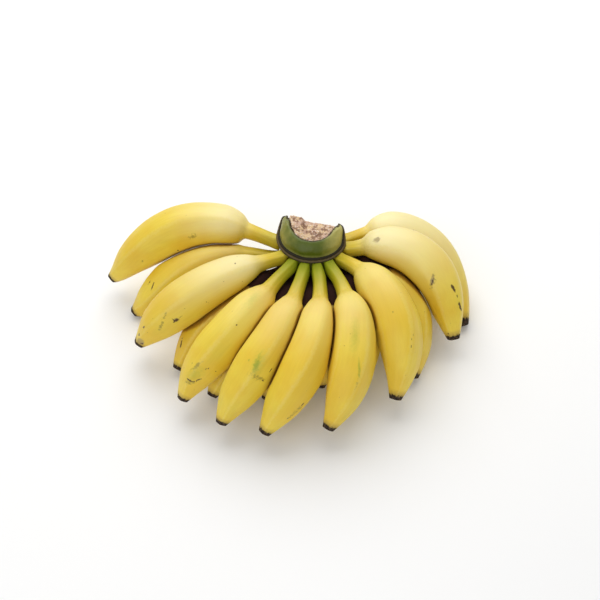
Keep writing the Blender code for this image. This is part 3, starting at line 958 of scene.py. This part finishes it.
def crown_skin_material():
    """Green banana stalk skin, smooth and fleshy: olive to dark green, with painted highlights that pale the
    horns and the roll just above the scar.
    """
    made, tree, shader = new_material("green_stalk_skin")
    straight = add(tree, "Attribute", {}, attribute_name="straight").outputs["Vector"]
    read = {
        name: add(tree, "Attribute", {}, attribute_name=name).outputs["Fac"]
        for name in ("from_cut", "leftward", "above_scar", "outward")
    }
    # Cloudy tone from dark to pale green, with a painted highlight that pales the horns, the right one most
    cloud = add(tree, "TexNoise", {"Vector": straight, "Scale": 1 / (5 * MM), "Detail": 3.0})
    sides = add(tree, "Math", {0: read["leftward"]}, operation="ABSOLUTE")
    uneven = add(tree, "Math", {0: read["leftward"], 1: -0.3, 2: sides}, operation="MULTIPLY_ADD")
    lit = add(tree, "Math", {0: cloud, 1: 0.5, 2: uneven}, operation="MULTIPLY_ADD")
    light = add(tree, "MapRange", {0: lit, 1: 0.45, 2: 1.35}, **SOFT)
    green = add(tree, "Mix", {0: light, 6: colour("#4E5C08"), 7: colour("#B2AA5C")}, **BLEND).outputs[2]
    # A painted highlight: the pale line along the roll just above the scar
    low = add(tree, "MapRange", {0: read["above_scar"], 1: 4.5, 2: 1.6, 3: 0.0, 4: 0.6}, **SOFT)
    green = add(tree, "Mix", {0: low, 6: green, 7: colour("#949656")}, **BLEND).outputs[2]
    # Browned edges beside the pith and along the cut
    crumb = add(tree, "TexNoise", {"Vector": straight, "Scale": 1 / (1.2 * MM), "Detail": 3.0})
    inner = add(tree, "Math", {0: sides, 1: 1.8, 2: read["outward"]}, operation="MULTIPLY_ADD")
    inner = add(tree, "Math", {0: crumb, 1: 1.4, 2: inner}, operation="MULTIPLY_ADD")
    dried = add(tree, "MapRange", {0: inner, 1: 16.9, 2: 15.7}, **SOFT)
    behind = add(tree, "Math", {0: crumb, 1: 1.2, 2: read["from_cut"]}, operation="MULTIPLY_ADD")
    browned = add(tree, "MapRange", {0: behind, 1: 1.4, 2: 0.5}, **SOFT)
    brown = add(tree, "Math", {0: dried, 1: browned}, operation="MAXIMUM")
    skin = add(tree, "Mix", {0: brown, 6: green, 7: colour("#3A2F1B")}, **BLEND).outputs[2]
    tree.links.new(skin, shader.inputs["Base Color"])
    dull = add(tree, "MapRange", {0: brown, 3: 0.42, 4: 0.8})
    tree.links.new(dull.outputs[0], shader.inputs["Roughness"])
    bump = add(tree, "Bump", {"Height": crumb, "Strength": 0.3, "Distance": 0.25 * MM})
    tree.links.new(bump.outputs[0], shader.inputs["Normal"])
    shader.inputs["IOR"].default_value = 1.45
    return made


def scar_material():
    """Dried bract scar, corky: nearly black lips with a brown furrow between them."""
    made, tree, shader = new_material("dried_bract_scar_cork")
    straight = add(tree, "Attribute", {}, attribute_name="straight").outputs["Vector"]
    above = add(tree, "Attribute", {}, attribute_name="above_scar").outputs["Fac"]
    crumb = add(tree, "TexNoise", {"Vector": straight, "Scale": 1 / (1.5 * MM), "Detail": 4.0})
    level = add(tree, "Math", {0: crumb, 1: 1.0, 2: above}, operation="MULTIPLY_ADD")
    upper = add(tree, "MapRange", {0: level, 1: 0.2, 2: 1.0}, **SOFT)
    lower = add(tree, "MapRange", {0: level, 1: 0.5, 2: -0.6}, **SOFT)
    dark = add(tree, "Math", {0: upper, 1: lower}, operation="MAXIMUM")
    cork = add(tree, "Mix", {0: dark, 6: colour("#5E4E2C"), 7: colour("#241E10")}, **BLEND).outputs[2]
    tree.links.new(cork, shader.inputs["Base Color"])
    bump = add(tree, "Bump", {"Height": crumb, "Strength": 0.6, "Distance": 0.3 * MM})
    tree.links.new(bump.outputs[0], shader.inputs["Normal"])
    shader.inputs["Roughness"].default_value = 0.75
    shader.inputs["IOR"].default_value = 1.45
    return made


def pith_material():
    """Cut stalk pith, fibrous and drying: pinkish beige grains, whitish fibre ends, brown hollows."""
    made, tree, shader = new_material("cut_stalk_pith_fibrous")
    straight = add(tree, "Attribute", {}, attribute_name="straight").outputs["Vector"]
    grain = add(tree, "Attribute", {}, attribute_name="grain").outputs["Fac"]
    # Fibre ends 1.1 mm apart, and fine grit between them
    ends = add(tree, "TexVoronoi", {"Vector": straight, "Scale": 1 / (1.1 * MM)})
    grit = add(tree, "TexNoise", {"Vector": straight, "Scale": 1 / (0.8 * MM), "Detail": 4.0})
    cloud = add(tree, "TexNoise", {"Vector": straight, "Scale": 1 / (4 * MM), "Detail": 2.0})
    warm = add(tree, "MapRange", {0: cloud, 1: 0.35, 2: 0.65}, **SOFT)
    flesh = add(tree, "Mix", {0: warm, 6: colour("#C8A48C"), 7: colour("#DDBD92")}, **BLEND).outputs[2]
    white = add(tree, "MapRange", {0: grit, 1: 0.52, 2: 0.68}, **SOFT)
    flesh = add(tree, "Mix", {0: white, 6: flesh, 7: colour("#EFE2D6")}, **BLEND).outputs[2]
    sunk = add(tree, "Math", {0: ends, 1: -0.7, 2: grain}, operation="MULTIPLY_ADD")
    hollow = add(tree, "MapRange", {0: sunk, 1: -0.25, 2: -0.75, 3: 0.0, 4: 0.8}, **SOFT)
    flesh = add(tree, "Mix", {0: hollow, 6: flesh, 7: colour("#7A543E")}, **BLEND).outputs[2]
    tree.links.new(flesh, shader.inputs["Base Color"])
    relief = add(tree, "Math", {0: grit, 1: ends}, operation="SUBTRACT")
    bump = add(tree, "Bump", {"Height": relief, "Strength": 0.7, "Distance": 0.5 * MM})
    tree.links.new(bump.outputs[0], shader.inputs["Normal"])
    shader.inputs["Roughness"].default_value = 0.85
    shader.inputs["IOR"].default_value = 1.4
    return made


# Studio

# How far the floor reaches from its middle, in metres
FLOOR_REACH = 4
# Each lamp's name, place, size and power in watts; both look at the middle of the hand
LAMPS = (
    ("softbox_overhead", (-0.05, 0.50, 0.75), 0.9, 5.8),
    ("softbox_front", (-0.35, -0.85, 0.6), 0.9, 2.7),
)
LIT_SPOT = Vector((0, 0, 0.03))
SKY_STRENGTH = 0.55


def studio():
    """A pale floor, a big soft light overhead and behind, and a weaker one in front."""
    board, tree, shader = new_material("matt_white_studio_board")
    where = add(tree, "TexCoord", {}).outputs["Object"]
    mottle = add(tree, "TexNoise", {"Vector": where, "Scale": 3.0, "Detail": 2.0})
    pale = add(tree, "Mix", {0: mottle, 6: colour("#F8F8F7"), 7: colour("#FAFAFA")}, **BLEND).outputs[2]
    tree.links.new(pale, shader.inputs["Base Color"])
    shader.inputs["Roughness"].default_value = 0.9
    work = bmesh.new()
    bmesh.ops.create_grid(work, x_segments=1, y_segments=1, size=FLOOR_REACH)
    floor = finished(work, "studio_floor", board)

    for name, spot, size, power in LAMPS:
        lamp = bpy.data.lights.new(name, "AREA")
        lamp.shape = "SQUARE"
        lamp.size = size
        lamp.energy = power
        light = bpy.data.objects.new(name, lamp)
        light.location = spot
        light.rotation_euler = (LIT_SPOT - Vector(spot)).to_track_quat("-Z", "Y").to_euler()
        bpy.context.scene.collection.objects.link(light)

    world = bpy.data.worlds.new("studio_world")
    world.use_nodes = True
    sky = world.node_tree.nodes["Background"]
    sky.inputs["Color"].default_value = (1, 1, 1, 1)
    sky.inputs["Strength"].default_value = SKY_STRENGTH
    bpy.context.scene.world = world
    bpy.context.scene.view_settings.view_transform = "Standard"


peel = peel_material()
fingers = all_fingers()
for number, finger in enumerate(fingers):
    peel_piece(finger, [other for other in fingers if other is not finger], number, peel)
crown_skin(crown_skin_material())
scar_ring(scar_material())
cut_pith(pith_material())
studio()
